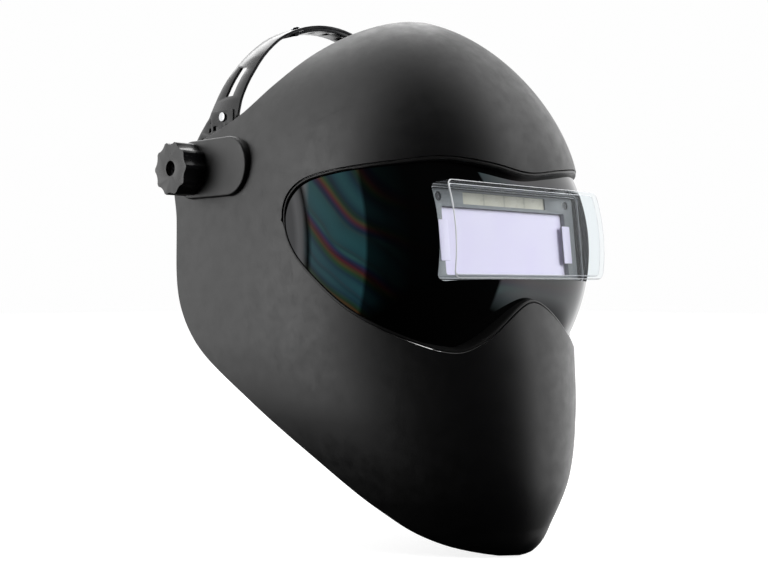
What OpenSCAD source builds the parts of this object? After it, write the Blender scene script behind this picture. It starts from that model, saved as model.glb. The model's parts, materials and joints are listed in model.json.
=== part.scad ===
// Welding helmet: moulded shell, wrap-round visor, auto-darkening filter and ratchet headgear.
// The face looks along -Y, +X is the wearer's left and +Z is up.
// The origin is on the tilt axis, midway between the two pivots.

/* [Shell] */
// Wall of the moulded shell
wall = 3; // [2.8:0.1:3.2]
// Rows of facets up the shell
shell_rows = 50; // [30:2:54]
// Columns of facets on each half of the shell
shell_cols = 20; // [14:1:22]

/* [Filter] */
// Width of the clear cover over the filter
cover_w = 136; // [134:0.5:138]
// Height of the clear cover over the filter
cover_h = 54; // [54:0.5:56]
// Backward lean of the filter's top
filter_tilt = 6; // [3:0.5:9]

/* [Pivots] */
// Diameter of the tension knobs
knob_d = 33; // [30:0.5:34]
// Outer end of a tension knob, from the middle of the helmet
knob_x = 122.5; // [120:0.5:126]
// Lobes round a tension knob
knob_lobes = 10; // [8:1:12]
// How far the face lifts, in degrees
lift = 70; // [50:5:75]

/* [Headgear] */
// Inner radius of the band's round ends
band_r = 82; // [81:0.5:82]
// Height of the brow band
band_h = 30; // [24:1:32]
// Lean of the band behind the head, in degrees
nape_tilt = 18; // [12:1:22]
// Teeth on the ratchet's pinion
pinion_teeth = 12; // [12:1:12]

/* [Hidden] */
$fn = 64;

// ---- Shell surface -------------------------------------------------------------------------
// The shell is a stack of level sections. Each is half a superellipse in front of its centre line,
// with straight walls behind it that end at the rim.
// Rows: height, half width, depth in front of the origin, centre line (Y), exponent
FACE = [
    [-232, 25, 160, -111, 2.0], [-226, 41, 178, -93, 2.05], [-210, 64, 186, -72, 2.1],
    [-185, 81, 192, -47, 2.35], [-150, 97, 192, -24, 2.4], [-115, 105, 189, -11, 2.4],
    [-82, 106.5, 184, -8, 2.5], [-45, 105, 182, -11, 2.55], [-7, 104, 181, -34, 2.95]
];
brow_z = -7;      // the dome starts here
dome_z = 96.8;    // its pole, which lies behind the rim
dome_pole = 67;   // how far in front of the origin the pole is
wall_run = 100;   // length of straight wall for one unit of the section parameter
// Rows: height, Y of the rim
RIM = [
    [-230, -191], [-220, -150], [-200, -123], [-170, -88], [-140, -48], [-110, -6], [-80, 14],
    [-30, 19.5], [10, 18.5], [30, -28], [50, -52.5], [70, -72], [85, -90], [99, -112.5]
];

// Cubic through a table's rows: column 0 is the place and column k the value
function row(tab, x, i = 0) = (i < len(tab) - 2 && x > tab[i + 1][0]) ? row(tab, x, i + 1) : i;
function rise(tab, k, a, b) = (tab[b][k] - tab[a][k]) / (tab[b][0] - tab[a][0]);
function slope(tab, k, i) = rise(tab, k, max(i - 1, 0), min(i + 1, len(tab) - 1));
function smooth(tab, k, x) =
    let (i = row(tab, x), h = tab[i + 1][0] - tab[i][0], t = (x - tab[i][0]) / h)
    (2 * t * t * t - 3 * t * t + 1) * tab[i][k]
    + (t * t * t - 2 * t * t + t) * h * slope(tab, k, i)
    + (3 * t * t - 2 * t * t * t) * tab[i + 1][k]
    + (t * t * t - t * t) * h * slope(tab, k, i + 1);

// [half width, depth, centre line, exponent] of the section at height z
function section(z) =
    z <= brow_z ? [for (k = [1:4]) smooth(FACE, k, z)] :
    let (b = FACE[len(FACE) - 1], q = (z - brow_z) / (dome_z - brow_z))
    let (f = pow(1 - pow(q, 1.72), 0.49))
    [b[1] * f, dome_pole + (b[2] - dome_pole) * f, b[3] - (dome_pole + b[3]) * (1 - f),
        b[4] + (2 - b[4]) * q];
// A point of a section: u is 0 at the front, +-1 at the centre line, and goes on along the wall
function on_section(s, z, u) =
    abs(u) > 1 ? [sign(u) * s[0], s[2] + (abs(u) - 1) * wall_run, z] :
    [sign(u) * s[0] * pow(sin(90 * abs(u)), 2 / s[3]),
        s[2] - (s[1] + s[2]) * pow(cos(90 * u), 2 / s[3]), z];
function shell_at(z, u) = on_section(section(z), z, u);
// The visor bulges most at the middle of its height, and there its corners are fullest
function bulge(z) = max(0, 1 - pow((z - bulge_z) / bulge_half, 2));
function visor_section(z) =
    [half_visor, visor_depth + bulge_out * bulge(z), -11, 3.3 + corner_fill * bulge(z)];
function visor_at(z, u) = on_section(visor_section(z), z, u);
half_visor = 101;
visor_depth = 170;
bulge_z = -51;
bulge_half = 56;
bulge_out = 14;
corner_fill = 0.6;

function unit(v) = v / norm(v);
function shell_normal(z, u) = unit(cross(
    shell_at(z, u + 0.004) - shell_at(z, u - 0.004), shell_at(z + 0.4, u) - shell_at(z - 0.4, u)));
function visor_normal(z, u) = unit(cross(
    visor_at(z, u + 0.004) - visor_at(z, u - 0.004), visor_at(z + 0.4, u) - visor_at(z - 0.4, u)));
function shell_in(z, u, t) = shell_at(z, u) - t * shell_normal(z, u);
function visor_in(z, u, t) = visor_at(z, u) - t * visor_normal(z, u);

// How far forward of its centre line the rim cuts the section at z: 1 or more misses it
function rim_cut(z) = let (s = section(z)) (s[2] - smooth(RIM, 1, z)) / (s[1] + s[2]);
function rim_u(z) =
    let (s = section(z), q = rim_cut(z))
    q <= 0 ? 1 - q * (s[1] + s[2]) / wall_run : acos(pow(q, s[3] / 2)) / 90;
// Height between a, inside the shell, and b, outside it, where the rim meets the front
function rim_end(a, b, n = 20) =
    n == 0 ? a : let (m = (a + b) / 2) rim_cut(m) < 0.998 ? rim_end(m, b, n - 1) : rim_end(a, m, n - 1);
shell_top = rim_end(60, 96);
shell_bottom = rim_end(-200, -231);

// Closed solid between two grids of points with the same rows and columns
module slab(front, back) {
    n = len(front);
    m = len(front[0]);
    function f(i, j) = i * m + j;
    function b(i, j) = n * m + i * m + j;
    function quad(p, q, r, s) = [[p, q, r], [p, r, s]];
    quads = concat(
        [for (i = [0:n - 2], j = [0:m - 2]) quad(f(i, j), f(i + 1, j), f(i + 1, j + 1), f(i, j + 1))],
        [for (i = [0:n - 2], j = [0:m - 2]) quad(b(i, j), b(i, j + 1), b(i + 1, j + 1), b(i + 1, j))],
        [for (j = [0:m - 2]) quad(f(0, j), f(0, j + 1), b(0, j + 1), b(0, j))],
        [for (j = [0:m - 2]) quad(f(n - 1, j + 1), f(n - 1, j), b(n - 1, j), b(n - 1, j + 1))],
        [for (i = [0:n - 2]) quad(f(i + 1, 0), f(i, 0), b(i, 0), b(i + 1, 0))],
        [for (i = [0:n - 2]) quad(f(i, m - 1), f(i + 1, m - 1), b(i + 1, m - 1), b(i, m - 1))]);
    polyhedron([for (g = [front, back], r = g, p = r) p], [for (q = quads, t = q) t]);
}

// ---- Visor opening -------------------------------------------------------------------------
// The opening is drawn on a cylinder about a vertical axis. s runs from -1 to 1 between its tips.
hub_y = -75;      // the cylinder's axis
hub_r = 103;      // its radius, for offsets
tip_angle = 86.9; // angle from the front to a tip
// Rows: s, height of the upper edge, with the dip in the middle of the brow
BROW = [[-0.12, -3], [0, -6.6], [0.12, -3], [0.24, -0.4], [0.35, -3], [0.54, -7], [0.71, -12],
    [0.87, -22], [1, -34]];
// Rows: s, height of the lower edge, with the nose in the middle
CHEEK = [[-0.05, -86], [0, -81.5], [0.05, -86], [0.15, -103.5], [0.21, -109], [0.30, -104.5],
    [0.46, -89.5], [0.64, -68.5], [0.81, -52], [1, -34]];
function edge(tab, s) = [hub_r * tip_angle * sin(90 * s) * PI / 180, smooth(tab, 1, abs(s))];
// The edge moved into the opening by inset, to the side that dir gives: -1 down, 1 up
function inset_edge(tab, s, inset, dir) =
    let (t = unit(edge(tab, s + 0.004) - edge(tab, s - 0.004)))
    edge(tab, s) + inset * dir * [-t[1], t[0]];
function radial(p, r) = let (a = p[0] / hub_r * 180 / PI) [r * sin(a), hub_y - r * cos(a), p[1]];

// Ring of four-cornered stations, closed at both ends
module sweep(stations) {
    n = len(stations);
    sides = [for (i = [0:n - 2], k = [0:3]) let (a = 4 * i + k, b = 4 * i + (k + 1) % 4)
        [[a, b, b + 4], [a, b + 4, a + 4]]];
    ends = [[0, 3, 2, 1], [for (k = [0:3]) 4 * (n - 1) + k]];
    polyhedron([for (s = stations, p = s) p], concat([for (q = sides, t = q) t], ends));
}
module opening(inset) {
    steps = 48;
    last = 0.985;
    sweep([for (i = [-steps:steps]) let (s = last * i / steps)
        let (lo = inset_edge(CHEEK, s, inset, 1), hi = inset_edge(BROW, s, inset, -1))
        [radial(lo, 50), radial(lo, 150), radial(hi, 150), radial(hi, 50)]]);
}

// ---- Places --------------------------------------------------------------------------------
module both_sides() for (s = [0, 1]) mirror([s, 0, 0]) children();
module left() children();
module right() mirror([1, 0, 0]) children();
// Cylinder along X from x0 to x1, on the tilt axis
module disc(r, x0, x1) translate([x0, 0, 0]) rotate([0, 90, 0]) cylinder(r = r, h = x1 - x0);
module tube(r1, r2, x0, x1) difference() {
    disc(r2, x0, x1);
    disc(r1, x0 - 1, x1 + 1);
}
// The filter's own frame: -Y is its front, and its middle is the cover's middle
module at_filter() translate([0, -161, -43]) rotate([-filter_tilt, 0, 0]) children();
// Plate in the filter's frame: width, height and middle height, from y0 to y1, with round corners
module plate(w, h, y0, y1, r = 2, z = 0) translate([0, y1, z]) rotate([90, 0, 0])
    linear_extrude(y1 - y0) rounded(w, h, r);
module rounded(w, h, r) {
    square([w - 2 * r, h], center = true);
    square([w, h - 2 * r], center = true);
    for (x = [-1, 1], y = [-1, 1]) translate([x * (w / 2 - r), y * (h / 2 - r)]) circle(r);
}

// Stack on the tilt axis, from the head outwards
plate_in = 86.2;    // side plate
plate_out = 90.7;
limiter_in = 90.9;  // tilt limiter
limiter_out = 93.4;
boss_x = 95.3;      // inner face of the shell's boss
pad_x = 107;        // outer face of the shell's pad
skirt_x = 107.5;    // knob's skirt
floor_x = 111;      // floor of the knob's hollow
flute_r = 8;        // knob's flutes
flute_depth = 1.6;
bolt_r = 3;
hub_tube_r = 5;     // limiter's hub, on which the shell turns
bushing_r = 9;
run = 0.05;         // radial clearance of a running fit
pad_r = 18;
pad_front = 36;     // from the tilt axis forward to the centre of the pad's round end
stop_r = 14;        // radius at which the stop pin travels
stop_pin_r = 1.8;
stop_angle = -60;   // where the stop pin rests, from the rear of the axis

// ---- Shell side ----------------------------------------------------------------------------
module shell() color("#2c2d30") resize([0, 0, 0]) difference() {
    union() {
        skin();
        both_sides() side_pad();
        both_sides() disc(17.5, boss_x, 101.5);
    }
    opening(0);
    both_sides() disc(bushing_r + 0.3, boss_x - 1, pad_x + 1);
    both_sides() stop_pin_place() translate([boss_x - 1, 0, 0]) rotate([0, 90, 0])
        cylinder(r = stop_pin_r + 0.2, h = 4, $fn = 24);
}
module skin() {
    mid = (shell_top + shell_bottom) / 2;
    half = (shell_top - shell_bottom) / 2;
    function level(i) = let (v = 2 * i / shell_rows - 1) mid + half * (0.4 * v + 0.6 * sin(90 * v));
    function grid(t) = [for (i = [0:shell_rows]) let (z = level(i), end = rim_u(z))
        [for (j = [-shell_cols:shell_cols]) shell_in(z, end * j / shell_cols, t)]];
    slab(grid(0), grid(wall));
}
// Raised pad round the pivot, with a round front end
module side_pad() {
    x0 = 101.5;
    disc(pad_r, x0, pad_x);
    translate([x0, -pad_front, -pad_r]) cube([pad_x - x0, pad_front, 2 * pad_r]);
    translate([0, -pad_front, 0]) disc(pad_r, x0, pad_x);
}
module stop_pin_place() rotate([stop_angle, 0, 0]) translate([0, stop_r, 0]) children();

module visor_layer(t0, t1) {
    rows = 12;
    cols = 18;
    reach = 1.06;
    function grid(t) = [for (i = [0:rows]) let (z = -113 + 115 * i / rows)
        [for (j = [-cols:cols]) visor_in(z, reach * j / cols, t)]];
    slab(grid(t0), grid(t1));
}
module visor() color("#15171c") resize([0, 0, 0]) difference() {
    intersection() {
        visor_layer(0, 2.5);
        opening(2.2);
    }
    at_filter() plate(cover_w + 0.6, cover_h + 0.6, -30, 30, 4);
}
// Seal between the shell's edge and the visor
module visor_bezel() color("#101113") resize([0, 0, 0]) difference() {
    intersection() {
        bezel_layer();
        opening(0.3);
    }
    opening(2);
}
function from_hub(p) = norm([p[0], p[1] - hub_y]);
function outermost(a, b) = from_hub(a) > from_hub(b) ? a : b;
module bezel_layer() {
    rows = 20;
    cols = 22;
    reach = 1.06;
    function grid(k) = [for (i = [0:rows]) let (z = -113 + 115 * i / rows)
        [for (j = [-cols:cols]) let (u = reach * j / cols)
            k == 0 ? outermost(shell_in(z, u, 0.5), visor_in(z, u, -0.5)) : visor_in(z, u, 6)]];
    slab(grid(0), grid(1));
}

holder_front = -5.8;  // in the filter's frame
holder_back = 14;
case_w = cover_w - 6;
case_h = cover_h - 4;
window_w = 112;
window_h = 38.5;
window_z = -4;
solar_w = 75;
solar_z = 20.5;
chamber_z = -35.5;    // middle of the battery chamber under the window
chamber_back = 27;
cell_d = 16;          // coin cell
cell_h = 3.2;

module adf_holder() color("#18191b") at_filter() difference() {
    plate(cover_w, cover_h, holder_front, holder_back, 4);
    plate(case_w + 0.6, case_h + 0.6, holder_front - 1, holder_back + 1, 2);
}
// Clear outer cover, bowed from top to bottom
module adf_cover_lens() color([0.85, 0.9, 0.92, 0.4]) at_filter() difference() {
    bowed(cover_w, cover_h, 4, 0, cover_back);
    bowed(cover_w - 4, cover_h - 4, 2.5, 1.8, cover_back + 1);
}
cover_back = holder_front - 0.1;
module bowed(w, h, r, inset, back) {
    bow_r = 104;
    intersection() {
        plate(w, h, -30, back, r);
        translate([0, bow_r - 24, 0]) rotate([0, 90, 0])
            cylinder(r = bow_r - inset, h = cover_w + 2, center = true, $fn = 180);
    }
}
module adf_front_case() color("#8e9496") at_filter() difference() {
    plate(case_w, case_h, -4, 8, 2);
    plate(window_w, window_h, -5, 6, 1.5, window_z);
    plate(case_w - 4, case_h - 4, 1, 9, 1);
    plate(solar_w, 7, -5, -2, 0.5, solar_z);
    for (x = [-1, 1]) translate([x * 58, 0, solar_z]) rotate([90, 0, 0])
        cylinder(r = 2.6, h = 14, center = true);
}
module adf_filter() color([0.85, 0.8, 0.95, 0.9]) at_filter()
    plate(window_w - 0.4, window_h - 0.4, -1, 3, 1.3, window_z);
module solar_cell() color("#d0ccb0") at_filter() plate(solar_w - 0.4, 6.6, -3.2, -2, 0.4, solar_z);
module arc_sensors() color("#202226") at_filter()
    for (x = [-1, 1]) translate([x * 58, 1, solar_z]) rotate([90, 0, 0]) cylinder(r = 2.4, h = 4.4);
module adf_circuit_board() color("#1f5a35") at_filter() difference() {
    plate(case_w - 5, case_h - 5, 4, 5.6, 1);
    plate(window_w + 1, window_h + 0.4, 3, 8, 1, window_z - 0.2);
}
module adf_rear_case() color("#232427") at_filter() difference() {
    union() {
        plate(case_w + 4, 72, holder_back + 0.2, 17.5, 3, -9);
        plate(122, 19, 17, chamber_back, 2, chamber_z);
    }
    plate(106, 37, 10, 30, 2, window_z);
    plate(118, cell_d + 1, 15.5, chamber_back - 2, 1, chamber_z);
    for (x = [-32, 0, 32]) dial_place(x) cylinder(r = 2 + run, h = 20, center = true);
    dial_place(52) cylinder(r = 2.5 + run, h = 20, center = true);
}
// Middle of the chamber's back face, with Z along the axis towards the wearer
module dial_place(x) translate([x, chamber_back, chamber_z]) rotate([-90, 0, 0]) children();
module adf_batteries() color("#b9bcc0") at_filter() for (x = [-1, 1])
    translate([x * 17, 16, chamber_z]) rotate([-90, 0, 0]) cylinder(d = cell_d, h = cell_h);
module adf_inner_cover() color([0.85, 0.9, 0.92, 0.4]) at_filter()
    plate(114, 42, 17.7, 18.9, 2, window_z + 1);
module adf_clips() color("#b8bbbf") at_filter() for (x = [-40, 40])
    translate([x - 9, 0, cover_h / 2 + 0.2]) difference() {
        translate([0, 2, -3]) cube([18, 16.7, 4.2]);
        translate([-1, 1, -4]) cube([20, 16.7, 4]);
    }
module dial(r, h) {
    difference() {
        translate([0, 0, 0.4]) cylinder(r = r, h = h);
        for (a = [0:30:330]) rotate([0, 0, a]) translate([r + 0.6, 0, 1.6])
            cylinder(r = 1.2, h = h, $fn = 24);
        translate([-0.6, 1.5, h - 0.4]) cube([1.2, r, 2]);
    }
    translate([0, 0, -4]) cylinder(r = 2, h = 4.5);
}
module shade_dial() color("#4a4d52") at_filter() dial_place(-32) dial(8, 4.5);
module sensitivity_dial() color("#4a4d52") at_filter() dial_place(0) dial(6.5, 4);
module delay_dial() color("#4a4d52") at_filter() dial_place(32) dial(6.5, 4);
module test_button() color("#a83228") at_filter() dial_place(52) translate([0, 0, -3.5]) {
    cylinder(r = 2.5, h = 6);
    cylinder(r = 3.6, h = 1.2);
}

module pivot_bushing() color("#55585c") difference() {
    union() {
        disc(bushing_r, boss_x, pad_x);
        disc(12, pad_x, 108.2);
    }
    disc(hub_tube_r + run, boss_x - 1, 110);
}
module pivot_bushing_left() left() pivot_bushing();
module pivot_bushing_right() right() pivot_bushing();
module stop_pins() color("#9fa2a6") both_sides() stop_pin_place()
    disc(stop_pin_r, limiter_in + 0.3, boss_x + 2);

// ---- Pivot stack on the headgear -----------------------------------------------------------
module tilt_limiter() color("#3b3d41") difference() {
    union() {
        disc(19, limiter_in, limiter_out);
        disc(hub_tube_r, limiter_in, 108);
    }
    disc(bolt_r + 0.2, 80, 120);
    // slot in which the shell's stop pin travels
    margin = 8.6;
    translate([limiter_in - 1, 0, 0]) rotate([stop_angle - lift - margin, 0, 0]) rotate([90, 0, 90])
        rotate_extrude(angle = lift + 2 * margin) translate([stop_r - 2.2, 0]) square([4.4, 6]);
}
module tilt_limiter_left() left() tilt_limiter();
module tilt_limiter_right() right() tilt_limiter();
module friction_washers() color("#6d4b33") both_sides() tube(hub_tube_r + 0.3, 10.8, limiter_out, 95);
module spring_washers() color("#a9acb0") both_sides() tube(bolt_r + 0.4, 10, 108.4, 109.6);
module pivot_bolts() color("#9fa2a6") both_sides() {
    disc(8, 86.5, 88.1);
    translate([88, -4, -4]) cube([2.5, 8, 8]);
    disc(bolt_r, 88, 116.5);
}
module knob() color("#2f3135") difference() {
    disc(knob_d / 2, skirt_x, knob_x);
    for (i = [0:knob_lobes - 1]) rotate([(i + 0.5) * 360 / knob_lobes, 0, 0])
        translate([0, knob_d / 2 + flute_r - flute_depth, 0]) disc(flute_r, skirt_x - 1, knob_x + 1);
    disc(knob_d / 2 - 3.2, skirt_x - 1, floor_x);
    disc(6, floor_x - 1, 119);
    disc(4.6, 118, knob_x + 1);
}
module knob_left() left() knob();
module knob_right() right() knob();
module knob_insert() color("#b08d57") tube(bolt_r + run, 6, floor_x, 119);
module knob_insert_left() left() knob_insert();
module knob_insert_right() right() knob_insert();

// ---- Headgear ------------------------------------------------------------------------------
centre_y = 14;      // the band's round ends are centred this far before and behind the axis
band_t = 2;
band_z = -13;       // lower edge of the brow band
// Part ring about a vertical axis, from angle a over sweep, with radii r1 to r2
module arc(r1, r2, z0, z1, a, sweep) rotate([0, 0, a]) rotate_extrude(angle = sweep, $fn = 160)
    translate([r1, z0]) square([r2 - r1, z1 - z0]);

module brow_band() color("#1b1c1f") difference() {
    union() {
        translate([0, -centre_y, 0]) arc(band_r, band_r + band_t, band_z, band_z + band_h, 180, 180);
        both_sides() translate([band_r, -centre_y, band_z]) cube([band_t, 2 * centre_y, band_h]);
    }
    for (a = [-60:20:60]) translate([0, -centre_y, 0]) rotate([0, 0, a])
        translate([-5, -band_r - 5, band_z + band_h - 9]) cube([10, 10, 5]);
    both_sides() band_stud_place() disc(1.6, 78, 95);
}
module sweatband() color("#3c3f45") difference() {
    translate([0, -centre_y, 0]) arc(band_r - 4.5, band_r - 0.2, band_z - 2, band_z + band_h - 10, 205, 130);
}

// The crown strap's arch: half an ellipse over the head, seen from the front
arch_w = 86;
arch_h = 91;
arch_z = 10;
strap_t = 1.8;
strap_lean = -6;    // how far the crown leans forward of the tilt axis
function arch(a, off) = [(arch_w + off) * cos(a), arch_z + (arch_h + off) * sin(a)];
// Outline of the strap from the side: rear edge going up, then front edge coming down
STRAP = [
    [24, 9], [24, 22], [20, 28], [14.5, 36], [12.5, 46], [10.5, 64], [7.5, 76], [4, 88], [1.5, 112],
    [-13.5, 112], [-12.5, 88], [-12.5, 76], [-13, 64], [-13.5, 46], [-15, 36], [-18, 28], [-19, 22],
    [-19, 9]
];
// One half of the crown strap, on the +X side, up to angle last; lap lifts its end over the other's
module half_strap(last, lap) difference() {
    intersection() {
        rotate([90, 0, 0]) linear_extrude(60, center = true) arch_band(last, lap);
        translate([-60, 0, 0]) rotate([90, 0, 90]) linear_extrude(160) polygon(STRAP);
    }
    // long slot on the side, adjusting holes near the top and a ladder of slots in the wide lower end
    translate([60, -4, 49]) cube([40, 7.4, 20]);
    for (a = [72:9:108]) translate([arch(a, 0)[0], strap_lean, arch(a, 0)[1]]) rotate([0, 90 - a, 0])
        cube([3.6, 5, 14], center = true);
    for (z = [14:6:32]) translate([78, 6, z]) cube([12, z < 26 ? 13 : 6, 3]);
    band_stud_place() disc(1.6, 78, 95);
}
module arch_band(last, lap) {
    steps = 30;
    function lift_at(a) = lap * min(1, max(0, (a - 40) / 20));
    polygon(concat(
        [for (i = [0:steps]) let (a = last * i / steps) arch(a - 1, lift_at(a))],
        [for (i = [steps:-1:0]) let (a = last * i / steps) arch(a - 1, lift_at(a) - strap_t)]));
}
module crown_strap_left() color("#1b1c1f") left() half_strap(114, 0);
module crown_strap_right() color("#1b1c1f") right() half_strap(118, strap_t + 0.3);
module headgear_studs() color("#c9cbce") {
    // studs that hold the strap's wide ends to the side plates, and the two at the crown
    both_sides() side_stud_place() {
        disc(1.5, 83.6, 88.6);
        disc(2.8, 88.6, 89.6);
    }
    both_sides() band_stud_place() {
        disc(3, 81, 81.9);
        disc(1.5, 81.9, 89.5);
    }
    for (a = [72, 108]) translate([arch(a, 0)[0], strap_lean, arch(a, 0)[1]]) rotate([0, 90 - a, 0]) {
        translate([0, 0, -strap_t - 0.7]) cylinder(r = 1.7, h = 5.4);
        translate([0, 0, strap_t + 0.5]) cylinder(r = 3.2, h = 1.2);
    }
}
module side_stud_place() translate([0, -8, 34]) children();
module band_stud_place() translate([0, -14.5, 12]) children();

// Side plate: round the pivot, an arm up beside the crown strap and a guide for the rack strap
rear_in = band_r + 2.4;  // inner radius of the left rack strap, in the tilted frame
rack_t = 1.5;
rack_gap = 0.4;
rack_h = 24;
module at_nape() rotate([-nape_tilt, 0, 0]) translate([0, centre_y, 0]) children();
module side_plate() color("#1b1c1f") {
    difference() {
        union() {
            disc(22, plate_in, plate_out);
            translate([plate_in, -18, 10]) cube([2.4, 22, 28]);
        }
        side_stud_place() disc(1.6, 80, 95);
        band_stud_place() disc(1.6, 80, 95);
        disc(8.2, plate_in - 1, 88.2);
        translate([88, -4.1, -4.1]) cube([4, 8.2, 8.2]);
        for (y = [-16, -3]) translate([plate_in - 1, y, 26]) cube([5, 5, 3]);
    }
    at_nape() difference() {
        arc(rear_in - 2, rear_in + 5.6, -rack_h / 2 - 2.2, rack_h / 2 + 2.2, 3, 31);
        arc(rear_in - 0.3, rear_in + 3.7, -rack_h / 2 - 0.3, rack_h / 2 + 0.3, 6.5, 40);
    }
}
module side_plate_left() left() side_plate();
module side_plate_right() right() side_plate();

// ---- Ratchet -------------------------------------------------------------------------------
rack_teeth = 160;   // teeth that would go right round
pitch_angle = 360 / rack_teeth;
pitch_r = 6.3;      // pinion's pitch radius
tooth = 0.8;        // height of a tooth above and below the pitch line
// Strip of a rack strap between radii r and r + rack_t; its stations are [angle, low, high]
module strip(r, stations) sweep([for (p = stations) let (c = cos(p[0]), s = sin(p[0]), q = r + rack_t)
    [[r * c, r * s, p[1]], [q * c, q * s, p[1]], [q * c, q * s, p[2]], [r * c, r * s, p[2]]]]);
// Strap with inner radius r, on the +X side; dir is -1 for teeth on the slot's lower edge, 1 for upper
module rack_strap(r, dir) {
    half = rack_h / 2;
    first = 18;        // ends of the strap and of its slot, in degrees
    slot0 = 74.5;
    slot1 = 105.5;
    last = 110;
    root = pitch_r + tooth + 0.4;
    tip = pitch_r - tooth;
    plain = 8.6;       // the slot's smooth edge
    join = 1;          // degrees by which the strips overlap at the slot's ends
    teeth = [for (i = [-7:6]) let (c = 90 + (i + 0.5) * pitch_angle)
        for (k = [[-0.3, root], [-0.1, tip], [0.1, tip], [0.3, root]]) [c + k[0] * pitch_angle, k[1]]];
    toothed = concat([[slot0 - join, root], [slot0, root]], teeth,
        [[slot1, root], [slot1 + join, root]]);
    strip(r, concat([for (i = [0:14]) [first + (slot0 - join - first) * i / 14, -half, half]],
        [[slot0, -half, half]]));
    strip(r, [for (p = toothed) dir < 0 ? [p[0], -half, -p[1]] : [p[0], p[1], half]]);
    strip(r, [for (a = concat([slot0 - join], [for (i = [0:8]) slot0 + (slot1 - slot0) * i / 8],
        [slot1 + join])) dir < 0 ? [a, plain, half] : [a, -half, -plain]]);
    strip(r, [[slot1, -half, half], [slot1 + join, -half, half], [last, 3 - half, half - 3]]);
}
module rack_strap_left() color("#232427") resize([0, 0, 0]) left() at_nape() rack_strap(rear_in, -1);
module rack_strap_right() color("#232427") resize([0, 0, 0]) right() at_nape()
    rack_strap(rear_in + rack_t + rack_gap, 1);

house_a = 64;         // the housing's ends, in degrees
house_sweep = 52;
house_h = 17;
cover_in = 88.2;
cover_out = 91.5;
knob_in = 92;
shaft_r = 4;
spindle_r = 3;        // shaft inside the pinion and the base
// Z along the ratchet's axis, away from the head; z = 0 is the axis of the band's rear end
module at_ratchet() at_nape() rotate([-90, 0, 0]) children();
module screw_places() for (a = [-22, 22], z = [-14.6, 14.6]) rotate([0, 0, a]) translate([0, 0, z])
    rotate([-90, 0, 0]) children();

module ratchet_base() color("#232427") difference() {
    at_nape() arc(79.5, 84, -house_h, house_h, house_a, house_sweep);
    at_ratchet() translate([0, 0, 70]) cylinder(r = spindle_r + run, h = 30);
    at_nape() screw_places() cylinder(r = 1.6, h = 100);
}
module ratchet_cover() color("#1b1c1f") difference() {
    at_nape() difference() {
        arc(84.05, cover_out, -house_h, house_h, house_a, house_sweep);
        arc(80, cover_in, -13, 13, house_a - 5, house_sweep + 10);
    }
    at_ratchet() translate([0, 0, 80]) cylinder(r = shaft_r + run, h = 30);
    at_nape() screw_places() cylinder(r = 1.6, h = 100);
}
module ratchet_screws() color("#9fa2a6") at_nape() screw_places() {
    translate([0, 0, 80.5]) cylinder(r = 1.5, h = 11.1);
    translate([0, 0, 91.6]) difference() {
        cylinder(r = 2.6, h = 1.4);
        for (a = [0, 90]) rotate([0, 0, a]) translate([-1.8, -0.35, 0.8]) cube([3.6, 0.7, 1]);
    }
}
module ratchet_pinion() color("#c9cbc4") at_ratchet() translate([0, 0, 84.15]) linear_extrude(3.6)
    difference() {
        polygon([for (i = [0:pinion_teeth - 1], p = [[5.1, -9], [7.1, -3.2], [7.1, 3.2], [5.1, 9]])
            let (a = i * 360 / pinion_teeth + p[1]) p[0] * [sin(a), cos(a)]]);
        circle(r = spindle_r);
    }
module ratchet_knob() color("#2f3135") at_ratchet() {
    translate([0, 0, 81]) cylinder(r = spindle_r, h = 8);
    translate([0, 0, 88.05]) cylinder(r = shaft_r, h = 9);
    difference() {
        translate([0, 0, knob_in]) cylinder(r = 22, h = 14);
        for (a = [0:20:340]) rotate([0, 0, a]) translate([23.4, 0, knob_in - 1]) cylinder(r = 2.4, h = 20);
        translate([0, 0, knob_in - 1]) difference() {
            cylinder(r = 18, h = 6);
            cylinder(r = 7, h = 7);
        }
        translate([0, 0, knob_in + 12.5]) cylinder(r = 15, h = 3);
    }
}
// Leaf in the knob's hollow that clicks as it turns, on a foot that stands on the cover
module ratchet_pawl() color("#a9acb0") at_ratchet() {
    translate([0, 0, knob_in + 0.6]) rotate([0, 0, -10]) rotate_extrude(angle = 120)
        translate([14.4, 0]) square([0.9, 3.4]);
    translate([13, -2.6, 90.7]) cube([3.2, 5.2, 2.5]);
}
module nape_pad() color("#3c3f45") at_nape() arc(74.5, 79.3, -21, 21, 60, 60);

shell();
visor();
visor_bezel();
adf_holder();
adf_cover_lens();
adf_front_case();
adf_filter();
solar_cell();
arc_sensors();
adf_circuit_board();
adf_rear_case();
adf_batteries();
adf_inner_cover();
adf_clips();
shade_dial();
sensitivity_dial();
delay_dial();
test_button();
pivot_bushing_left();
pivot_bushing_right();
stop_pins();
brow_band();
side_plate_left();
side_plate_right();
crown_strap_left();
crown_strap_right();
headgear_studs();
sweatband();
tilt_limiter_left();
tilt_limiter_right();
friction_washers();
spring_washers();
pivot_bolts();
knob_left();
knob_right();
knob_insert_left();
knob_insert_right();
ratchet_base();
ratchet_cover();
ratchet_screws();
ratchet_pawl();
ratchet_knob();
ratchet_pinion();
rack_strap_left();
rack_strap_right();
nape_pad();
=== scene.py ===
import json
import math

import bmesh
import bpy
import numpy as np
from mathutils import Matrix, Vector


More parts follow.
